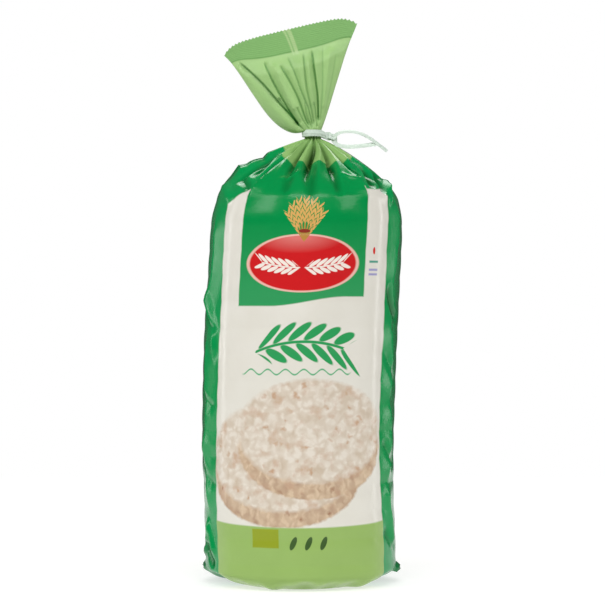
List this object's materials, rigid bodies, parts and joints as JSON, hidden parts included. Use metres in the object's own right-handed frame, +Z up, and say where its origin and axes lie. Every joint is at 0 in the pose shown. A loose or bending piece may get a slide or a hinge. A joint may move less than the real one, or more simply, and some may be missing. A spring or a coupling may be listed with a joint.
{
  "type": "bag of puffed rice cakes",
  "caption": "Tall film bag packed round a stack of round puffed rice cakes, flat at its base, gathered at the neck by a twist tie with its sealed top fanned out above.",
  "frame": {"origin": "middle of the bag's footprint, on the surface it stands on", "axes": "+Z up along the stack of cakes, -Y towards the printed front panel, +X to the right as seen from the front"},
  "size_m": [0.1018, 0.097, 0.2865],
  "materials": {
    "printed_film": "printed gloss film with a pale front panel",
    "tie_plastic": "white satin"
  },
  "bodies": {
    "root": {"film_bag": "printed_film", "twist_tie": "tie_plastic"}
  },
  "joints": []
}
